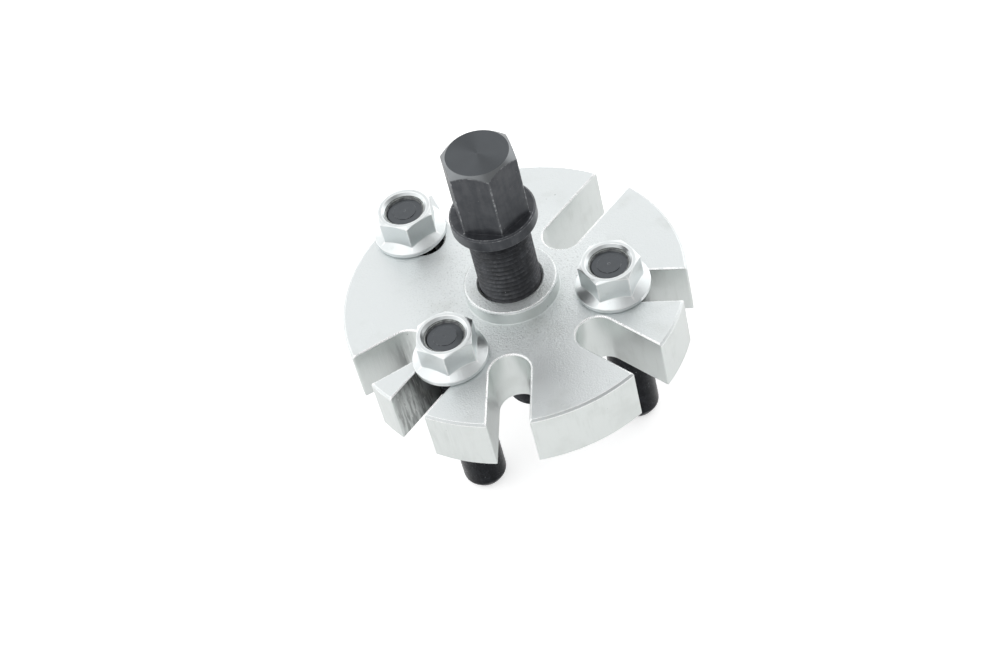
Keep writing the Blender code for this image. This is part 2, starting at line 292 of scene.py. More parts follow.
def hexagon_columns(across, corner_angle, between=9):
    """Angles all round, with some on each corner's rounding, and the last one turn after the first."""
    _, tangent = hexagon_corner(across)
    near = tangent * CORNER_COLUMNS
    half = np.concatenate([near, np.linspace(near[-1], math.pi / 6, between)[1:]])
    side = np.concatenate([half, math.pi / 3 - half[-2:0:-1]])
    angles = (np.arange(6)[:, None] * math.pi / 3 + side).ravel()
    return math.radians(corner_angle) + np.append(angles, math.tau)


def angle_from_corner(angles, corner_angle):
    """How far each angle is from the nearest corner, on either side of it."""
    return np.abs((angles - math.radians(corner_angle) + math.pi / 6) % (math.pi / 3) - math.pi / 6)


def hexagon_radius(across, angles, corner_angle):
    """On the flats half the width divided by a cosine, and near the corners the edge of a small circle."""
    distance, tangent = hexagon_corner(across)
    from_corner = angle_from_corner(angles, corner_angle)
    flat = across / 2 / np.cos(math.pi / 6 - from_corner)
    inner = np.maximum(CORNER_ROUNDING ** 2 - (distance * np.sin(from_corner)) ** 2, 0.0)
    return np.where(from_corner < tangent, distance * np.cos(from_corner) + np.sqrt(inner), flat)


def corner_wear(across, angles, corner_angle):
    """1 on the hexagon's rounded corners and 0 on its flats."""
    _, tangent = hexagon_corner(across)
    return (angle_from_corner(angles, corner_angle) < CORNER_WEAR_REACH * tangent).astype(float)


def per_column(columns, *pairs):
    """A profile whose radii and heights may each be a number or an array with one value a column."""
    return np.stack([np.stack(np.broadcast_arrays(radius, height, np.zeros(columns))[:2], axis=-1)
                     for radius, height in pairs])


print(f"corners rounded to {CORNER_ROUNDING / MM} mm")

# %% [markdown]
# Materials are networks of nodes, and their sums read best as Python. A small class wraps a socket
# and gives it the arithmetic signs, so that 1 - mask adds a Math node by itself. One method makes any
# other node from its type, its settings and the values or links of its sockets.

# %% Shader arithmetic
QUARTER_TURN = 0.25


class Wire:
    """An output socket that can be added, subtracted and multiplied like a number."""

    def __init__(self, finish, socket):
        self.finish = finish
        self.socket = socket

    def join(self, operation, left, right):
        return self.finish.node("ShaderNodeMath", {"operation": operation}, {0: left, 1: right})

    def __add__(self, other):
        return self.join("ADD", self, other)

    def __sub__(self, other):
        return self.join("SUBTRACT", self, other)

    def __mul__(self, other):
        return self.join("MULTIPLY", self, other)

    def __rsub__(self, other):
        return self.join("SUBTRACT", other, self)

    __radd__ = __add__
    __rmul__ = __mul__


class Finish:
    """A material or a world, and the nodes in it."""

    def __init__(self, owner):
        owner.use_nodes = True
        self.owner = owner
        self.tree = owner.node_tree
        self.tree.nodes.clear()

    def node(self, kind, settings=None, inputs=None, output=0):
        """Adds a node: its settings first, then each socket's value or link. Gives back one output."""
        made = self.tree.nodes.new(kind)
        for name, value in (settings or {}).items():
            setattr(made, name, value)
        for name, value in (inputs or {}).items():
            if isinstance(value, Wire):
                self.tree.links.new(value.socket, made.inputs[name])
            else:
                made.inputs[name].default_value = value
        return Wire(self, made.outputs[output]) if len(made.outputs) else made

    def worn(self):
        """What the mesh says of its wear: 1 on edges and 0 on flats."""
        return self.node("ShaderNodeAttribute", {"attribute_name": "worn"}, output="Fac")

    def noise(self, size, detail=2.0, rough=0.5, stretch=(1.0, 1.0, 1.0)):
        """Random values from 0 to 1 in lumps about size across, and longer where stretch is small."""
        vector = self.node("ShaderNodeVectorMath", {"operation": "MULTIPLY"}, {0: self.place, 1: stretch})
        return self.node("ShaderNodeTexNoise", inputs={
            "Vector": vector, "Scale": 1.0 / size, "Detail": detail, "Roughness": rough})

    def step(self, value, low, high):
        """0 below low, 1 above high and a smooth change between them."""
        return self.node("ShaderNodeMapRange", {"interpolation_type": "SMOOTHSTEP"}, {
            "Value": value, "From Min": low, "From Max": high})

    def mix(self, share, first, second):
        """A colour between two others."""
        return self.node("ShaderNodeMix", {"data_type": "RGBA"}, {0: share, 6: first, 7: second}, 2)

    def metal(self, colour, roughness, height, metallic=1.0, anisotropic=0.0):
        """A metal whose height, in metres, becomes its bump.

        Anisotropic spreads its gloss across the rings that a lathe leaves.
        """
        normal = self.node("ShaderNodeBump", inputs={"Distance": 1.0, "Height": height})
        shader = self.node("ShaderNodeBsdfPrincipled", inputs={
            "Base Color": colour, "Roughness": roughness, "Metallic": metallic,
            "Anisotropic": anisotropic, "Anisotropic Rotation": QUARTER_TURN, "Normal": normal})
        self.node("ShaderNodeOutputMaterial", inputs={"Surface": shader})
        return self.owner


def new_finish(name):
    """A finish whose place says where a point is on its piece, so that marks move with the piece."""
    finish = Finish(bpy.data.materials.new(name))
    finish.place = finish.node("ShaderNodeTexCoord", output="Object")
    return finish


def rgb(red, green, blue):
    return (red, green, blue, 1.0)


print("shader helpers ready")

# %% [markdown]
# The plate was forged, shot-blasted and bright zinc plated. The plating is as bright as a mirror, but
# the blasting left dimples a few tenths of a millimetre wide, so it reflects softly. A picture of the
# metal could not do this from every side, so every mark is noise. The dimples are in the bump, deeper
# near the boss, and there dark specks are painted into the colour, a painted reflection of the dark
# screw. The walls are painted a little less blue, a painted tint of the table that they reflect. The
# slot walls and the rim have fine upright marks from milling, the slots that were used most are
# streaked and scored as well, and a few pits and smudges break up what is left. The edges are painted
# near white in patches, partly rubbed zinc and partly a painted highlight. The boss's top reflects the
# most softly, and the holes are painted dark, a painted shade.

# %% Bright zinc
ZINC = rgb(0.755, 0.79, 0.795)
# The walls' colour is a little less blue: a painted tint of the table that they reflect
ZINC_WALL_PAINTED_TABLE_TINT = rgb(0.755, 0.79, 0.765)
# The smudge colour also paints the lighter shade in the nuts' bores
ZINC_SMUDGE_AND_PAINTED_SHADE = rgb(0.60, 0.63, 0.61)
# Near white, for scratches and for the painted highlight on edges
ZINC_SCRATCH_AND_PAINTED_HIGHLIGHT = rgb(0.96, 0.97, 0.97)
# The pit colour also paints shade in the threaded holes, and the next colour is that painted shade at its
# darkest
ZINC_PIT_AND_PAINTED_SHADE = rgb(0.22, 0.23, 0.23)
HOLE_PAINTED_SHADE = rgb(0.06, 0.063, 0.068)
# How wide the marks are
DIMPLES, SPECKS, WAVES, CLOUDS, PITS = 0.42 * MM, 0.6 * MM, 3.5 * MM, 9.0 * MM, 1.1 * MM
MILLING, STREAKS, STAINS, SCRATCHES, RUBS = 0.5 * MM, 1.6 * MM, 1.1 * MM, 1.0 * MM, 2.2 * MM
# How deep the relief is, in millimetres
DIMPLE_DEPTH, MORE_NEAR_BOSS, WAVE_DEPTH, MILLING_DEPTH, PIT_DEPTH = 0.10, 0.12, 0.03, 0.03, 0.02
# The painted reflection specks are full up to the first distance from the screw's axis and gone from the
# second
SPECKLED_RADIUS, BRIGHT_RADIUS = 17.0 * MM, 33.0 * MM
# The slots' walls are scored and dark between these places along X, where the tool was used most
USED_FROM, USED_TO = (-33.0 * MM, -26.0 * MM), (-9.0 * MM, -3.0 * MM)
ZINC_METALLIC = 0.88


def axis_distance(finish):
    """How far a point is from the forcing screw's axis."""
    flat = {0: finish.place, 1: (1.0, 1.0, 0.0)}
    across = finish.node("ShaderNodeVectorMath", {"operation": "MULTIPLY"}, flat)
    return finish.node("ShaderNodeVectorMath", {"operation": "LENGTH"}, {0: across}, "Value")


def forged_zinc(name, soot, rough):
    """soot says how strongly a used slot's walls are marked, and rough how softly the zinc reflects."""
    finish = new_finish(name)
    facing = finish.node("ShaderNodeTexCoord", output="Normal")
    upward = finish.node("ShaderNodeSeparateXYZ", inputs={0: facing}, output=2)
    wall = 1.0 - finish.step(upward * upward, 0.1, 0.6)
    dimples = finish.noise(DIMPLES, detail=3.0, rough=0.65)
    painted_reflection_specks = finish.step(finish.noise(SPECKS, detail=3.0, rough=0.7), 0.54, 0.66)
    near = 1.0 - finish.step(axis_distance(finish), SPECKLED_RADIUS, BRIGHT_RADIUS)
    waves = finish.noise(WAVES, detail=2.0)
    clouds = finish.noise(CLOUDS, detail=3.0)
    smudges = finish.step(clouds, 0.52, 0.72)
    pits = finish.step(finish.noise(PITS, detail=1.0), 0.80, 0.83)
    marks = finish.noise(MILLING, detail=3.0, stretch=(1.0, 1.0, 0.07))
    streaks = finish.noise(STREAKS, detail=4.0, rough=0.6, stretch=(1.0, 1.0, 0.16))
    stains = finish.noise(STAINS, detail=4.0, rough=0.6, stretch=(1.0, 1.0, 0.14))
    scratches = finish.noise(SCRATCHES, detail=4.0, rough=0.6, stretch=(1.0, 1.6, 0.3))
    east = finish.node("ShaderNodeSeparateXYZ", inputs={0: finish.place}, output=0)
    used = finish.step(east, *USED_FROM) - finish.step(east, *USED_TO)
    patches = finish.noise(CLOUDS, detail=2.0, stretch=(1.0, 1.0, 0.4))
    stained = used * finish.step(patches, 0.36, 0.60)
    rubbed = finish.noise(RUBS, detail=3.0, rough=0.65)
    # Worn edges are painted near white in patches: partly rubbed zinc, partly a painted highlight line
    rub_and_painted_highlight = finish.worn() * finish.step(rubbed, 0.26, 0.46)
    # Walls are painted toward that less blue colour, a painted reflection tint
    colour = finish.mix(wall * 0.6, ZINC, ZINC_WALL_PAINTED_TABLE_TINT)
    colour = finish.mix(smudges * 0.35, colour, ZINC_SMUDGE_AND_PAINTED_SHADE)
    colour = finish.mix(wall * 0.25 * finish.step(streaks, 0.50, 0.72), colour, ZINC_SMUDGE_AND_PAINTED_SHADE)
    colour = finish.mix(wall * soot * stained * finish.step(stains, 0.40, 0.62), colour, ZINC_PIT_AND_PAINTED_SHADE)
    colour = finish.mix(wall * soot * stained * finish.step(scratches, 0.60, 0.64), colour, ZINC_SCRATCH_AND_PAINTED_HIGHLIGHT)
    # Dark specks painted near the boss: a painted reflection of the dark screw, broken up by the dimples
    colour = finish.mix(painted_reflection_specks * near * (1.0 - wall) * 0.28, colour, ZINC_PIT_AND_PAINTED_SHADE)
    colour = finish.mix(pits * 0.8, colour, ZINC_PIT_AND_PAINTED_SHADE)
    colour = finish.mix(rub_and_painted_highlight, colour, ZINC_SCRATCH_AND_PAINTED_HIGHLIGHT)
    roughness = rough + 0.05 * clouds + 0.06 * dimples - 0.08 * rub_and_painted_highlight
    blasted = dimples * (DIMPLE_DEPTH + MORE_NEAR_BOSS * near) * (1.0 - 0.80 * wall)
    milled = marks * wall * MILLING_DEPTH
    height = (blasted + waves * WAVE_DEPTH + milled - pits * PIT_DEPTH) * MM
    return finish.metal(colour, roughness, height, metallic=ZINC_METALLIC)


def machined_zinc():
    """The nuts were turned and plated: finer grain, smaller clouds and no dimples."""
    finish = new_finish("machined_zinc")
    grain = finish.noise(0.30 * MM, detail=2.0)
    clouds = finish.noise(2.5 * MM, detail=3.0)
    marks = finish.noise(0.45 * MM, detail=3.0, stretch=(1.0, 1.0, 0.12))
    # The nuts' worn corners are painted near white in patches: partly rubbed zinc, partly a painted
    # highlight
    rub_and_painted_highlight = finish.worn() * finish.step(clouds, 0.30, 0.50)
    colour = finish.mix(finish.step(clouds, 0.55, 0.75) * 0.4, ZINC, ZINC_SMUDGE_AND_PAINTED_SHADE)
    colour = finish.mix(rub_and_painted_highlight, colour, ZINC_SCRATCH_AND_PAINTED_HIGHLIGHT)
    roughness = 0.25 + 0.10 * clouds + 0.06 * marks
    height = (grain * 0.020 + marks * 0.014 + clouds * 0.05) * MM
    return finish.metal(colour, roughness, height)


def painted_shade_bore(name, dark, light):
    """The inside of a threaded hole, painted in blotches between a dark and a lighter colour: painted
    shade.
    """
    finish = new_finish(name)
    blotches = finish.noise(1.2 * MM, detail=2.0)
    colour = finish.mix(finish.step(blotches, 0.2, 0.8), dark, light)
    return finish.metal(colour, 0.35 + 0.2 * blotches, blotches * 0.02 * MM, metallic=0.7)


FORGED_ZINC = forged_zinc("forged_zinc", soot=0.08, rough=0.25)
SLOT_ZINC = forged_zinc("slot_zinc", soot=0.70, rough=0.27)
BOSS_ZINC = forged_zinc("boss_zinc", soot=0.0, rough=0.42)
MACHINED_ZINC = machined_zinc()
# The threaded holes are painted dark and the nuts' bores grey: painted shade
PAINTED_SHADE_BORE = painted_shade_bore("painted_shade_bore", HOLE_PAINTED_SHADE, ZINC_PIT_AND_PAINTED_SHADE)
NUT_PAINTED_SHADE_BORE = painted_shade_bore("nut_bore", ZINC_PIT_AND_PAINTED_SHADE, ZINC_SMUDGE_AND_PAINTED_SHADE)
zinc = (FORGED_ZINC, SLOT_ZINC, BOSS_ZINC, MACHINED_ZINC, PAINTED_SHADE_BORE, NUT_PAINTED_SHADE_BORE)
print("zinc finishes:", ", ".join(made.name for made in zinc))

# %% [markdown]
# The screw and the legs are hardened steel with black oxide, a thin skin that grows in a hot salt
# bath. On the legs it still looks like metal, only a very dark one. On the screw and its thread it is
# duller, so their finish lies part of the way between metal and a plain dark skin. Spanners and
# handling rub it off the corners first: the mesh carries that as an attribute named worn, noise
# decides where it shows, and bare metal comes through there. The top of the head was faced on a
# lathe, and its fine rings spread the light across them.

# %% Black oxide
OXIDE = rgb(0.050, 0.054, 0.062)
OXIDE_LIGHT = rgb(0.080, 0.084, 0.092)
OXIDE_FACED = rgb(0.098, 0.105, 0.113)
OXIDE_FACED_LIGHT = rgb(0.118, 0.127, 0.136)
OXIDE_TURNED = rgb(0.260, 0.272, 0.280)
OXIDE_TURNED_DARK = rgb(0.190, 0.200, 0.208)
LEG_DARK = rgb(0.012, 0.013, 0.015)
LEG_LIGHT = rgb(0.024, 0.026, 0.030)
BARE_STEEL = rgb(0.42, 0.43, 0.44)
RING_SPACING = 0.25 * MM


def black_oxide(name, base, light, rough, bare, metallic):
    """bare says how much steel shows at worn edges, and metallic how much of a metal the skin is."""
    finish = new_finish(name)
    clouds = finish.noise(3.0 * MM, detail=4.0, rough=0.6)
    grain = finish.noise(0.35 * MM, detail=2.0)
    streaks = finish.noise(0.9 * MM, detail=3.0, stretch=(1.0, 1.0, 0.12))
    nicks = finish.step(finish.noise(0.42 * MM, detail=1.0), 0.775, 0.80)
    rub = finish.step(finish.noise(1.1 * MM, detail=3.0, rough=0.65), 0.45, 0.68)
    colour = finish.mix(finish.step(clouds * 0.6 + streaks * 0.4, 0.38, 0.66), base, light)
    rubbed = finish.worn() * (0.15 + 0.85 * rub) * bare
    colour = finish.mix(rubbed, colour, BARE_STEEL)
    colour = finish.mix(nicks * 0.7, colour, BARE_STEEL)
    roughness = rough + 0.10 * clouds + 0.04 * streaks
    height = (grain * 0.012 + clouds * 0.05 + streaks * 0.006) * MM
    return finish.metal(colour, roughness, height, metallic + (1.0 - metallic) * rubbed)


def faced_oxide(name, dark, light, rough, anisotropic):
    """The rings that a lathe leaves are noise of the distance from the axis alone."""
    finish = new_finish(name)
    rings = finish.node("ShaderNodeTexNoise", {"noise_dimensions": "1D"}, {
        "W": axis_distance(finish), "Scale": 1.0 / RING_SPACING, "Detail": 2.0})
    clouds = finish.noise(4.0 * MM, detail=3.0)
    colour = finish.mix(clouds, dark, light)
    return finish.metal(colour, rough + 0.06 * clouds, rings * 0.004 * MM, anisotropic=anisotropic)


def stud_end_oxide():
    """The studs were parted off after blackening, and their ends took on only a thin grey skin."""
    finish = new_finish("stud_end_oxide")
    clouds = finish.noise(1.2 * MM, detail=3.0)
    grain = finish.noise(0.3 * MM, detail=2.0)
    colour = finish.mix(clouds, OXIDE_FACED, OXIDE_FACED_LIGHT)
    colour = finish.mix(finish.worn() * finish.step(clouds, 0.45, 0.60) * 0.8, colour, BARE_STEEL)
    return finish.metal(colour, 0.26 + 0.10 * clouds, (grain * 0.015 + clouds * 0.03) * MM)


SCREW_OXIDE = black_oxide("screw_oxide", OXIDE, OXIDE_LIGHT, rough=0.25, bare=0.8, metallic=0.45)
THREAD_OXIDE = black_oxide("thread_oxide", LEG_LIGHT, OXIDE, rough=0.26, bare=0.6, metallic=0.35)
LEG_OXIDE = black_oxide("leg_oxide", LEG_DARK, LEG_LIGHT, rough=0.20, bare=0.4, metallic=0.95)
FACED_OXIDE = faced_oxide("faced_oxide", OXIDE_FACED, OXIDE_FACED_LIGHT, rough=0.42, anisotropic=0.9)
TURNED_OXIDE = faced_oxide("turned_oxide", OXIDE_TURNED_DARK, OXIDE_TURNED, rough=0.26, anisotropic=0.3)
STUD_END_OXIDE = stud_end_oxide()
black = (SCREW_OXIDE, THREAD_OXIDE, LEG_OXIDE, FACED_OXIDE, TURNED_OXIDE, STUD_END_OXIDE)
print("black finishes:", ", ".join(made.name for made in black))

# %% [markdown]
# The plate is one disc with eight slots milled in from its rim at uneven angles, so that it fits many
# bolt patterns. Its outline could be cut by Booleans, but those leave ragged edges that take no
# rounding. Here the outline is one closed path: an arc of the rim, a small curve into the slot, its
# side, its round end, its other side, and a curve back to the rim. A section with both edges rounded
# is carried along that path, and the rim's wide chamfer changes to the slots' narrow one on the small
# curves.

# %% The plate's outline
SLOT_WIDTH = 10.6 * MM
# Angle in degrees, and how far the round inner end lies from the screw's axis
SLOTS = [
    (0.0, 21.0 * MM), (60.0, 16.7 * MM), (120.0, 21.0 * MM), (145.0, 26.9 * MM),
    (216.6, 26.3 * MM), (240.5, 21.0 * MM), (275.6, 22.6 * MM), (326.2, 23.0 * MM),
]
MOUTH_ROUNDING = 0.4 * MM
SIDE_HOLD = 0.5 * MM
MOUTH_STEPS = np.linspace(0.0, 1.0, 5)
END_STEPS = np.linspace(0.0, 1.0, 31)
# Between two slots the rim has a point for each step of the angle, less those that the mouths replace
RIM_STEP_DEGREES = 1.5
MOUTH_POINTS = 14
FEWEST_POINTS = 3

plate_low, plate_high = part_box("puller_plate")
PLATE_RADIUS = -plate_low.x


def mouth_curve(start, corner, end):
    """The curve (1-t)(1-t) start + 2t(1-t) corner + tt end."""
    t = MOUTH_STEPS[:, None]
    return (1 - t) ** 2 * np.array(start) + 2 * t * (1 - t) * np.array(corner) + t ** 2 * np.array(end)


def plate_outline(rim_inset, slot_growth):
    """The path round the plate, to the left: each slot is worked out along its own axis and then turned.

    The second array says how far each point belongs to a slot: 0 on the rim and 1 in the slot.
    """
    radius = PLATE_RADIUS - rim_inset
    half = SLOT_WIDTH / 2 + slot_growth
    mouth = math.sqrt(radius ** 2 - half ** 2)
    opening = math.asin(half / radius)
    edge = opening + MOUTH_ROUNDING / radius
    on_rim = (radius * math.cos(edge), radius * math.sin(edge))
    paths, weights = [], []
    for (angle, inner_end), (next_angle, _) in zip(SLOTS, SLOTS[1:] + SLOTS[:1]):
        middle = inner_end + SLOT_WIDTH / 2
        turn = math.pi / 2 + math.pi * END_STEPS[:, None]
        round_end = np.hstack([middle + half * np.cos(turn), -half * np.sin(turn)])
        side = np.array([(mouth - MOUTH_ROUNDING - SIDE_HOLD, half), (middle + SIDE_HOLD, half)])
        curve = mouth_curve(on_rim, (mouth, half), (mouth - MOUTH_ROUNDING, half))
        flip = np.array([1.0, -1.0])
        slot = np.concatenate([curve * flip, side * flip, round_end, side[::-1], curve[::-1]])
        weight = np.concatenate([MOUTH_STEPS, np.ones(len(slot) - 2 * len(curve)), MOUTH_STEPS[::-1]])
        a = math.radians(angle)
        spin = np.array([[math.cos(a), math.sin(a)], [-math.sin(a), math.cos(a)]])
        gap = math.radians((next_angle - angle) % 360.0)
        count = max(FEWEST_POINTS, round(math.degrees(gap) / RIM_STEP_DEGREES) - MOUTH_POINTS)
        along = a + np.linspace(edge, gap - edge, count)[1:-1, None]
        rim = radius * np.hstack([np.cos(along), np.sin(along)])
        paths += [slot @ spin, rim]
        weights += [weight, np.zeros(len(rim))]
    return np.concatenate(paths), np.concatenate(weights)


outline, in_slot = plate_outline(0.0, 0.0)
print(f"plate: radius {PLATE_RADIUS / MM:.1f} mm, {len(outline)} points round its outline")

# %% The plate's walls
BOSS_HEIGHT = 4.1 * MM
RIM_CHAMFER = 0.6 * MM
RIM_FOOT = 0.35 * MM
SLOT_BEVEL_WIDTH = 0.50 * MM
SLOT_BEVEL_DEPTH = 0.26 * MM
EDGE_CUT = 0.16 * MM
FLAT_MARGIN = 0.3 * MM

BOSS_TOP = plate_high.z
PLATE_TOP = BOSS_TOP - BOSS_HEIGHT
UNDERSIDE = plate_low.z


def wall_profile(width, depth, foot, bright):
    """From the top face over the upper edge, down the wall and round the lower edge, as (inset, height)."""
    return rounded(ring(
        (width + FLAT_MARGIN, PLATE_TOP),
        (width, PLATE_TOP),
        (0.0, PLATE_TOP - depth),
        (0.0, UNDERSIDE + foot),
        (foot, UNDERSIDE),
        (foot + FLAT_MARGIN, UNDERSIDE),
    ), [0.0, EDGE_CUT, EDGE_CUT, EDGE_CUT, EDGE_CUT, 0.0], bright)


def plate_walls():
    """Carries the section along the outline: each row is the outline at that row's insets and heights."""
    rim, rim_worn = wall_profile(RIM_CHAMFER, RIM_CHAMFER, RIM_FOOT, ())
    # The slot's chamfers are worn all across, which the zinc paints as a highlight
    slot, slot_worn = wall_profile(SLOT_BEVEL_WIDTH, SLOT_BEVEL_DEPTH, SLOT_BEVEL_DEPTH, (1, 3))
    rows, worn = [], []
    for row in reversed(range(len(rim))):
        (rim_inset, rim_height), (slot_inset, slot_height) = rim[row, 0], slot[row, 0]
        path, weight = plate_outline(rim_inset, slot_inset)
        height = rim_height * (1 - weight) + slot_height * weight
        closed = np.append(np.arange(len(path)), 0)
        rows.append(np.column_stack([path, height])[closed])
        worn.append((rim_worn[row] * (1 - weight) + slot_worn[row] * weight)[closed])
    return np.stack(rows), np.stack(worn)


print(f"plate: {(PLATE_TOP - UNDERSIDE) / MM:.1f} mm thick, and {BOSS_HEIGHT / MM} mm more at its boss")

# %% The boss and the hole
BOSS_RADIUS = 12.3 * MM
BOSS_EDGE = 0.45 * MM
BOSS_FILLET = 0.6 * MM
BOSS_ROUNDING = 0.18 * MM
HOLE_MOUTH = 8.75 * MM
HOLE_ROUNDING = 0.08 * MM
SCREW_CREST = 8.0 * MM
SCREW_THREAD_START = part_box("forcing_screw")[0].z
THREAD_ROOM = 0.06 * MM
PLATE_COLUMNS = 168


def plate_boss():
    """Fillet, side, rounded edge and top of the boss, then the threaded hole down to the underside.

    The boss's foot isn't worn, and its top has a finish of its own.
    """
    angles = np.linspace(0.0, math.tau, PLATE_COLUMNS + 1)
    root = SCREW_CREST + THREAD_ROOM
    hole_top = BOSS_TOP - (HOLE_MOUTH - root)
    hole_low = UNDERSIDE + (HOLE_MOUTH - root)
    outside = rounded(ring(
        (BOSS_RADIUS + BOSS_FILLET + FLAT_MARGIN, PLATE_TOP),
        (BOSS_RADIUS, PLATE_TOP),
        (BOSS_RADIUS, BOSS_TOP - BOSS_EDGE),
        (BOSS_RADIUS - BOSS_EDGE, BOSS_TOP),
        (HOLE_MOUTH, BOSS_TOP),
        (root, hole_top),
    ), [0.0, BOSS_FILLET, BOSS_ROUNDING, BOSS_ROUNDING, HOLE_ROUNDING, 0.0])
    limit = hole_limit(hole_low, hole_top, root)
    thread = thread_band(angles, hole_low, hole_top, SCREW_THREAD_START, root, limit, inside=True)
    below = rounded(ring(
        (root, hole_low), (HOLE_MOUTH, UNDERSIDE), (HOLE_MOUTH + FLAT_MARGIN, UNDERSIDE),
    ), [0.0, HOLE_ROUNDING, 0.0])
    rows, worn = outside
    worn[:2 * CORNER_ROWS] = 0.0
    top = 4 * CORNER_ROWS
    # Finish 1 paints the hole's thread dark, a painted shade
    return angles, [(rows[:top], worn[:top], 0), (rows[top:], worn[top:], 2), (*thread, 1), (*below, 0)]


print(f"boss: {2 * BOSS_RADIUS / MM:.1f} mm across, round a hole of {2 * SCREW_CREST / MM:.0f} mm")

# %% The plate's mesh
SAME_POINT = 1e-9


def flat_face(outer, inner):
    """Triangles between a closed outer path and the circle inside it, by Delaunay's rule."""
    points = np.concatenate([outer, inner])
    loops = [list(range(len(outer))), list(range(len(outer), len(points)))]
    flat, _, triangles, sources, _, _ = delaunay_2d_cdt(
        [Vector(point) for point in points], [], loops, 1, SAME_POINT)
    flat = np.array([point[:] for point in flat])
    triangles = np.array(triangles)
    middle = flat[triangles].mean(axis=1)
    return flat, triangles[np.hypot(*middle.T) > np.hypot(*inner.T).min()]


def make_plate():
    walls, worn = plate_walls()
    slot_finish = np.where(in_slot > 0.5, 3, 0)
    angles, bands = plate_boss()
    boss = np.concatenate([np.broadcast_to(rows, (len(rows), len(angles), 2)) for rows, _, _ in bands])
    boss_worn = np.concatenate([wear for _, wear, _ in bands])
    boss_finish = np.concatenate([np.full(len(rows), finish) for rows, _, finish in bands])
    boss_points = polar_points(angles, boss, (0.0, 0.0))
    points = [walls.reshape(-1, 3), boss_points.reshape(-1, 3)]
    wear = [worn.ravel(), np.repeat(boss_worn, len(angles))]
    faces = grid_quads(*walls.shape[:2]).tolist()
    finish = [np.tile(slot_finish, len(walls) - 1), np.repeat(boss_finish[1:], len(angles) - 1)]
    faces += (grid_quads(len(boss), len(angles)) + len(points[0])).tolist()
    for height, outer, inner, order in (
        (PLATE_TOP, walls[-1, :-1, :2], boss_points[0, :-1, :2], 1),
        (UNDERSIDE, walls[0, :-1, :2], boss_points[-1, :-1, :2], -1),
    ):
        flat, triangles = flat_face(outer, inner)
        faces += (triangles[:, ::order] + sum(map(len, points))).tolist()
        points.append(np.column_stack([flat, np.full(len(flat), height)]))
        wear.append(np.zeros(len(flat)))
        finish.append(np.zeros(len(triangles), int))
    return mesh_from("puller_plate_forging", np.concatenate(points), faces,
                     np.concatenate(wear), np.concatenate(finish))


plate_mesh = make_plate()

# %% [markdown]
# The forcing screw is turned from one bar: thread, collar and a tall hexagon for a 17 mm spanner. It
# could be a Screw modifier with the hexagon joined on by a Boolean. One grid does it all here, and
# leaves no seam between them. The lower end is drilled for the shank of the swivel tip.

# %% The forcing screw
HEAD_ACROSS = 17.0 * MM
HEAD_CORNER_ANGLE = 173.4
HEAD_HEIGHT = 19.55 * MM
HEAD_FACE_RADIUS = 7.9 * MM
HEAD_CORNER_DROP = 1.7 * MM
HEAD_FILLET = 0.08 * MM
HEAD_EDGE = 0.2 * MM
COLLAR_RADIUS = 11.0 * MM
COLLAR_THICKNESS = 3.9 * MM
COLLAR_EDGE = 0.4 * MM
COLLAR_ROUNDING = 0.12 * MM
SCREW_END_CHAMFER = 1.2 * MM
SCREW_END_ROUNDING = 0.2 * MM
NECK = 0.9 * MM
TIP_BORE_RADIUS = 2.8 * MM
TIP_BORE_DEPTH = 8.3 * MM
TIP_BORE_ROUNDING = 0.1 * MM
# The face of the head has a plain ring at its edge and a small dimple in its middle
FACE_RING = 0.25 * MM
FACE_ROUNDING = 0.02 * MM
DIMPLE_RADIUS, DIMPLE_DROP, DIMPLE_ROUNDING = 0.5 * MM, 0.12 * MM, 0.1 * MM

screw_low, screw_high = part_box("forcing_screw")
COLLAR_TOP = screw_high.z - HEAD_HEIGHT
COLLAR_UNDERSIDE = COLLAR_TOP - COLLAR_THICKNESS


def cone_height(radius, across, top, face_radius, drop):
    """Height of the cone that takes off a hexagon's corners, lower by drop there than at face_radius."""
    corner = across / math.sqrt(3.0)
    return top - drop * np.maximum(radius - face_radius, 0.0) / (corner - face_radius)


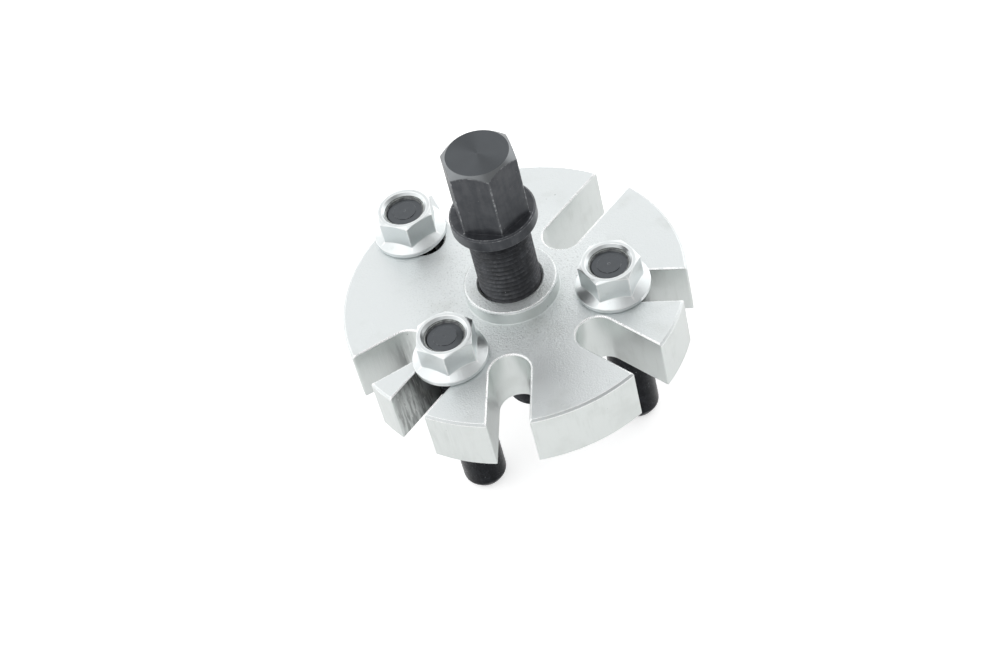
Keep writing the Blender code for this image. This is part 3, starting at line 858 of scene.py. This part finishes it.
def make_screw():
    angles = hexagon_columns(HEAD_ACROSS, HEAD_CORNER_ANGLE, between=12)
    columns = len(angles)
    low, high = screw_low.z, screw_high.z
    bore_top = low + TIP_BORE_DEPTH
    end_radius = SCREW_CREST - SCREW_END_CHAMFER
    root = SCREW_CREST - THREAD_DEPTH
    bore = rounded(ring(
        (0.0, bore_top), (TIP_BORE_RADIUS, bore_top), (TIP_BORE_RADIUS, low), (end_radius, low),
    ), [0.0, TIP_BORE_ROUNDING, SCREW_END_ROUNDING, 0.0])
    limit = [(low, end_radius), (low + SCREW_END_CHAMFER, SCREW_CREST),
             (COLLAR_UNDERSIDE - NECK - THREAD_DEPTH, SCREW_CREST), (COLLAR_UNDERSIDE - NECK, root),
             (COLLAR_UNDERSIDE, root)]
    thread = thread_band(angles, low, COLLAR_UNDERSIDE, SCREW_THREAD_START, SCREW_CREST, limit)
    side = hexagon_radius(HEAD_ACROSS, angles, HEAD_CORNER_ANGLE)
    shoulder = cone_height(side, HEAD_ACROSS, high, HEAD_FACE_RADIUS, HEAD_CORNER_DROP)
    head, worn = rounded(per_column(
        columns,
        (root, COLLAR_UNDERSIDE),
        (COLLAR_RADIUS - COLLAR_EDGE, COLLAR_UNDERSIDE),
        (COLLAR_RADIUS, COLLAR_UNDERSIDE + COLLAR_EDGE),
        (COLLAR_RADIUS, COLLAR_TOP - COLLAR_EDGE),
        (COLLAR_RADIUS - COLLAR_EDGE, COLLAR_TOP),
        (side, COLLAR_TOP),
        (side, shoulder),
        (HEAD_FACE_RADIUS, high),
    ), [0.0] + [COLLAR_ROUNDING] * 4 + [HEAD_FILLET, HEAD_EDGE, 0.0])
    # The hexagon's foot isn't worn, from there up its corners are, and its cone has a finish of its own
    foot, edge, cone = 5 * CORNER_ROWS, 6 * CORNER_ROWS, 7 * CORNER_ROWS - 2
    worn[foot:edge] = 0.0
    worn = np.repeat(worn[:, None], columns, axis=1)
    worn[foot:] = np.maximum(worn[foot:], corner_wear(HEAD_ACROSS, angles, HEAD_CORNER_ANGLE))
    face = rounded(ring(
        (HEAD_FACE_RADIUS, high), (HEAD_FACE_RADIUS - FACE_RING, high), (DIMPLE_RADIUS, high),
        (0.0, high - DIMPLE_DROP),
    ), [0.0, FACE_ROUNDING, DIMPLE_ROUNDING, 0.0])
    return lathe("forcing_screw_threaded", angles, [
        (*bore, 0), (*thread, 3), (head[:cone], worn[:cone], 0), (head[cone:], worn[cone:], 2), (*face, 1)])


screw_mesh = make_screw()

# %% [markdown]
# The swivel tip turns in the screw's end, so that the screw doesn't rub on the shaft as it presses.
# It is hidden under the plate in the photograph. A small turned piece like this is fully described by
# its profile, here with the cone that centres it in the shaft.

# %% The centre tip
TIP_SHANK_RADIUS = 2.5 * MM
TIP_HEAD_RADIUS = 4.4 * MM
TIP_CONE_HEIGHT = 2.3 * MM
TIP_HEAD_HEIGHT = 2.0 * MM
TIP_FACE_RADIUS = 1.6 * MM
TIP_FACE_ROUNDING, TIP_ROUNDING = 0.3 * MM, 0.15 * MM
ROUND_COLUMNS = np.linspace(0.0, math.tau, 73)


def make_tip():
    low, high = (corner.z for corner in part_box("centre_tip"))
    cone_top = low + TIP_CONE_HEIGHT
    head_top = cone_top + TIP_HEAD_HEIGHT
    profile = rounded(ring(
        (0.0, low), (TIP_FACE_RADIUS, low), (TIP_HEAD_RADIUS, cone_top), (TIP_HEAD_RADIUS, head_top),
        (TIP_SHANK_RADIUS, head_top), (TIP_SHANK_RADIUS, high), (0.0, high),
    ), [0.0, TIP_FACE_ROUNDING] + [TIP_ROUNDING] * 4 + [0.0])
    return lathe("centre_tip_turned", ROUND_COLUMNS, [(*profile, 0)])


tip_mesh = make_tip()

# %% [markdown]
# Each leg is turned from one bar too: a plain shank below, a shoulder that bears on the plate from
# underneath, and an M10 stud that goes up through the slot. The foot has a long chamfer. The stud's
# end shows in the nut's mouth as a dark chamfered disc, with a raised middle and the mark of the
# lathe's centre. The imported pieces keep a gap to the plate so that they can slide. Here the gap is
# nearly closed, since a clamped leg bears on the plate.

# %% The legs
LEG_RADIUS = 5.75 * MM
FOOT_RADIUS = 4.1 * MM
FOOT_CHAMFER = 2.4 * MM
FOOT_ROUNDING, SHANK_ROUNDING, SHOULDER_ROUNDING = 0.5 * MM, 0.7 * MM, 0.2 * MM
STUD_RADIUS = 5.0 * MM
STUD_LAND = 1.0 * MM
STUD_LAND_RADIUS = 4.68 * MM
STUD_END_RADIUS = 3.1 * MM
STUD_END_STEP = 0.18 * MM
STUD_END_CHAMFER = 0.40 * MM
STUD_END_CUTS = np.array([0.0, 0.05, 0.10, 0.04, 0.06, 0.05, 0.0]) * MM
SEAT_ROOM = 0.05 * MM
PACKED_SEAT_GAP = 0.3 * MM
STUD_THREAD_START = UNDERSIDE - PACKED_SEAT_GAP
CENTRE_MARK = 0.35 * MM


def make_leg(number):
    low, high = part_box("leg_" + number)
    centre = (low + high) / 2
    shoulder = UNDERSIDE - SEAT_ROOM
    top = high.z
    root = STUD_RADIUS - THREAD_DEPTH
    foot = rounded(ring(
        (0.0, low.z), (FOOT_RADIUS, low.z), (LEG_RADIUS, low.z + FOOT_CHAMFER), (LEG_RADIUS, shoulder),
        (root, shoulder),
    ), [0.0, FOOT_ROUNDING, SHANK_ROUNDING, SHOULDER_ROUNDING, 0.0])
    land = top - STUD_LAND
    limit = [(shoulder, root), (shoulder + NECK, root), (shoulder + NECK + THREAD_DEPTH, STUD_RADIUS),
             (land - THREAD_DEPTH, STUD_RADIUS), (land, root)]
    thread = thread_band(ROUND_COLUMNS, shoulder, land, STUD_THREAD_START, STUD_RADIUS, limit)
    end = rounded(ring(
        (root, land), (STUD_LAND_RADIUS, land), (STUD_LAND_RADIUS, top - STUD_END_CHAMFER),
        (STUD_END_RADIUS, top - STUD_END_STEP), (STUD_END_RADIUS, top), (CENTRE_MARK, top),
        (0.0, top - CENTRE_MARK / 2),
    ), STUD_END_CUTS)
    return lathe(f"leg_{number}_threaded", ROUND_COLUMNS, [(*foot, 0), (*thread, 0), (*end, 1)], centre)


leg_meshes = {number: make_leg(number) for number in "123"}

# %% [markdown]
# A flange nut is a hexagon nut with its washer forged on. The sloping flange meets each flat in a
# curve, and the top of the hexagon is turned off in a shallow cone. The mouth is countersunk, and the
# thread starts below it in the dark. All of this is again one grid that goes out under the flange, up
# the outside, in over the top and down through the thread, and closes on itself.

# %% The flange nuts
NUT_ACROSS = 14.1 * MM
NUT_FACE_RADIUS = 6.9 * MM
NUT_CORNER_DROP = 0.6 * MM
NUT_CORNER_ANGLES = {"1": 44.0, "2": 13.0, "3": 36.9}
FLANGE_RADIUS = 9.75 * MM
FLANGE_EDGE = 1.2 * MM
FLANGE_UNDERCUT = 0.4 * MM
FLANGE_RISE = 1.7 * MM
FLANGE_TOP_RADIUS = 6.6 * MM
SINK_RADIUS = 6.05 * MM
BORE_RADIUS = 5.35 * MM
BORE_DEPTH = 1.0 * MM
EDGE_ROUNDING = 0.14 * MM


def make_nut(number):
    low, high = (corner.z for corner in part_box("flange_nut_" + number))
    leg_low, leg_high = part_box("leg_" + number)
    centre = (leg_low + leg_high) / 2
    corner_angle = NUT_CORNER_ANGLES[number]
    seat = PLATE_TOP + SEAT_ROOM
    angles = hexagon_columns(NUT_ACROSS, corner_angle)
    side = hexagon_radius(NUT_ACROSS, angles, corner_angle)
    foot = low + FLANGE_EDGE + FLANGE_RISE * (FLANGE_RADIUS - side) / (FLANGE_RADIUS - FLANGE_TOP_RADIUS)
    shoulder = cone_height(side, NUT_ACROSS, high, NUT_FACE_RADIUS, NUT_CORNER_DROP)
    root = STUD_RADIUS + THREAD_ROOM
    sink_low = high - (SINK_RADIUS - BORE_RADIUS)
    outside, worn = rounded(per_column(
        len(angles),
        (SINK_RADIUS, seat),
        (FLANGE_RADIUS - FLANGE_UNDERCUT, seat),
        (FLANGE_RADIUS, seat + FLANGE_UNDERCUT),
        (FLANGE_RADIUS, low + FLANGE_EDGE),
        (side, foot),
        (side, shoulder),
        (NUT_FACE_RADIUS, high),
        (SINK_RADIUS, high),
        (BORE_RADIUS, sink_low),
    ), [0.0] + [EDGE_ROUNDING] * 7 + [0.0])
    # The seat isn't worn, and the hexagon's corners are
    worn[:2 * CORNER_ROWS] = 0.0
    worn = np.repeat(worn[:, None], len(angles), axis=1)
    worn[4 * CORNER_ROWS:6 * CORNER_ROWS] += corner_wear(NUT_ACROSS, angles, corner_angle)
    worn = np.minimum(worn, 1.0)
    bore_low = high - BORE_DEPTH
    hole_low = seat + (SINK_RADIUS - root)
    bore = ring((BORE_RADIUS, sink_low), (BORE_RADIUS, bore_low), (root, bore_low))
    limit = hole_limit(hole_low, bore_low, root)
    thread = thread_band(angles, hole_low, bore_low, STUD_THREAD_START, root, limit, inside=True)
    below = ring((root, hole_low), (SINK_RADIUS, seat))
    # Finish 2 paints the nut's bore grey and finish 1 its thread dark: painted shade
    bands = [(outside, worn, 0), (bore, [0.0] * len(bore), 2), (*thread, 1), (below, [0.0] * len(below), 1)]
    return lathe(f"flange_nut_{number}_threaded", angles, bands, centre)


nut_meshes = {number: make_nut(number) for number in "123"}

# %% [markdown]
# Each finished mesh now becomes an object in the place of its node, rides on that node's body and
# gets its materials. The order of the materials is the order of the numbers given to the bands.

# %% Pieces on their bodies


def add_piece(mesh, node, slot, *materials):
    piece = new_object(mesh.name, mesh)
    for material in materials:
        mesh.materials.append(material)
    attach(piece, node)
    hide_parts(node)


add_piece(plate_mesh, "puller_plate", "zinc_plate", FORGED_ZINC, PAINTED_SHADE_BORE, BOSS_ZINC, SLOT_ZINC)
add_piece(screw_mesh, "forcing_screw", "black_screw", SCREW_OXIDE, FACED_OXIDE, TURNED_OXIDE, THREAD_OXIDE)
add_piece(tip_mesh, "centre_tip", "black_screw", SCREW_OXIDE)
for number in "123":
    add_piece(leg_meshes[number], "leg_" + number, "black_leg", LEG_OXIDE, STUD_END_OXIDE)
    add_piece(nut_meshes[number], "flange_nut_" + number, "zinc_nut", MACHINED_ZINC, PAINTED_SHADE_BORE, NUT_PAINTED_SHADE_BORE)

# %% [markdown]
# Bright metal shows what stands round it more than its own colour. Product photographs of it are made
# in a white tent: light comes softly from all sides, and the backdrop is the brightest part and draws
# white lines on the edges. The tent's ceiling is a little brighter too, a softbox stands behind on the
# right, and the opening high on the right is greyer, which shades the plate's front. The world plays
# the tent here: its strength depends on the direction. Two large round lamps, one above and one on the
# left, add the soft highlights.

# %% World and lamps
TENT_LIGHT = 0.87
TENT_BACK_LIGHT = 0.145
BACKDROP_LIGHT = 0.75
BACKDROP_DIRECTION = (-0.31, 0.95, 0.0)
BACKDROP_LOW, BACKDROP_HIGH = 0.12, 0.60
BACKDROP_EDGE, BACKDROP_CORE = -0.2, 0.4
CEILING_LIGHT = 0.12
CEILING_LOW, CEILING_HIGH = 0.70, 0.86
OPENING_LIGHT = 0.45
OPENING_DIRECTION = (0.66, -0.27, 0.70)
OPENING_EDGE, OPENING_CORE = 0.76, 0.88
SOFTBOX_LIGHT = 0.30
SOFTBOX_DIRECTION = (0.53, 0.63, 0.57)
SOFTBOX_EDGE, SOFTBOX_CORE = 0.90, 0.96
LAMP_DISTANCE = 0.8
WHITE = rgb(1, 1, 1)


def light_path(finish):
    """Two masks: 1 for rays from the camera, and 1 for rays from a glossy surface or through glass."""
    names = ("Is Camera Ray", "Is Glossy Ray", "Is Transmission Ray")
    camera_ray, glossy_ray, glass_ray = [finish.node("ShaderNodeLightPath", output=name) for name in names]
    return camera_ray, glossy_ray + glass_ray


def along(finish, direction):
    """How closely a direction of the world lies to this one: 1 on it, 0 at right angles."""
    place = finish.node("ShaderNodeTexCoord", output="Generated")
    unit = Vector(direction).normalized()
    return finish.node("ShaderNodeVectorMath", {"operation": "DOT_PRODUCT"}, {0: place, 1: unit}, "Value")


def make_world():
    world = bpy.data.worlds.new("tent")
    bpy.context.scene.world = world
    finish = Finish(world)
    camera_ray, _ = light_path(finish)
    opening = finish.step(along(finish, OPENING_DIRECTION), OPENING_EDGE, OPENING_CORE)
    up = along(finish, (0.0, 0.0, 1.0))
    low = 1.0 - finish.step(up, BACKDROP_LOW, BACKDROP_HIGH)
    ceiling = finish.step(up, CEILING_LOW, CEILING_HIGH)
    back = along(finish, BACKDROP_DIRECTION)
    backdrop = low * finish.step(back, BACKDROP_EDGE, BACKDROP_CORE)
    softbox = finish.step(along(finish, SOFTBOX_DIRECTION), SOFTBOX_EDGE, SOFTBOX_CORE)
    tent = TENT_LIGHT + back * TENT_BACK_LIGHT + backdrop * BACKDROP_LIGHT
    tent = tent + ceiling * CEILING_LIGHT + softbox * SOFTBOX_LIGHT
    level = tent - (tent - OPENING_LIGHT) * opening
    strength = camera_ray + (1.0 - camera_ray) * level
    background = finish.node("ShaderNodeBackground", inputs={"Color": WHITE, "Strength": strength})
    finish.node("ShaderNodeOutputWorld", inputs={"Surface": background})


def add_lamp(name, direction, size, light):
    """A round lamp that faces the plate. Its power is its light times pi times its area."""
    data = bpy.data.lights.new(name, "AREA")
    data.shape = "DISK"
    data.size = size
    data.energy = light * math.pi * math.pi * size ** 2 / 4
    lamp = new_object(name, data)
    away = Vector(direction).normalized()
    lamp.location = Vector((0.0, 0.0, PLATE_TOP)) + away * LAMP_DISTANCE
    lamp.rotation_euler = away.to_track_quat("Z", "Y").to_euler()


make_world()
add_lamp("top_lamp", direction=(-0.24, -0.22, 0.95), size=0.52, light=0.55)
add_lamp("left_lamp", direction=(-0.71, -0.21, 0.67), size=0.70, light=0.35)
print("world and two lamps")

# %% [markdown]
# The tool stands on a white table that runs out of the picture. A surface that reflects light can
# never be quite white in a picture, so the table also glows a little, but only for the camera and for
# reflections: the soft shadow under the plate stays, and the glow puts no light on the tool.

# %% Table
TABLE_SIZE = 6.0
TABLE_PAINT = rgb(0.80, 0.80, 0.80)
TABLE_GLOW = 0.62
TABLE_GLOW_REFLECTED = 0.27


def make_table():
    half = TABLE_SIZE / 2
    mesh = bpy.data.meshes.new("table")
    mesh.from_pydata([(-half, -half, 0.0), (half, -half, 0.0), (half, half, 0.0), (-half, half, 0.0)],
                     [], [(0, 1, 2, 3)])
    finish = Finish(bpy.data.materials.new("white_table"))
    camera_ray, reflected_ray = light_path(finish)
    strength = camera_ray * TABLE_GLOW + reflected_ray * TABLE_GLOW_REFLECTED
    paint = finish.node("ShaderNodeBsdfDiffuse", inputs={"Color": TABLE_PAINT})
    glow = finish.node("ShaderNodeEmission", inputs={"Color": WHITE, "Strength": strength})
    both = finish.node("ShaderNodeAddShader", inputs={0: paint, 1: glow})
    finish.node("ShaderNodeOutputMaterial", inputs={"Surface": both})
    mesh.materials.append(finish.owner)
    new_object("table", mesh)


make_table()
bpy.context.scene.view_settings.view_transform = "Standard"
print("table:", TABLE_SIZE, "m wide")
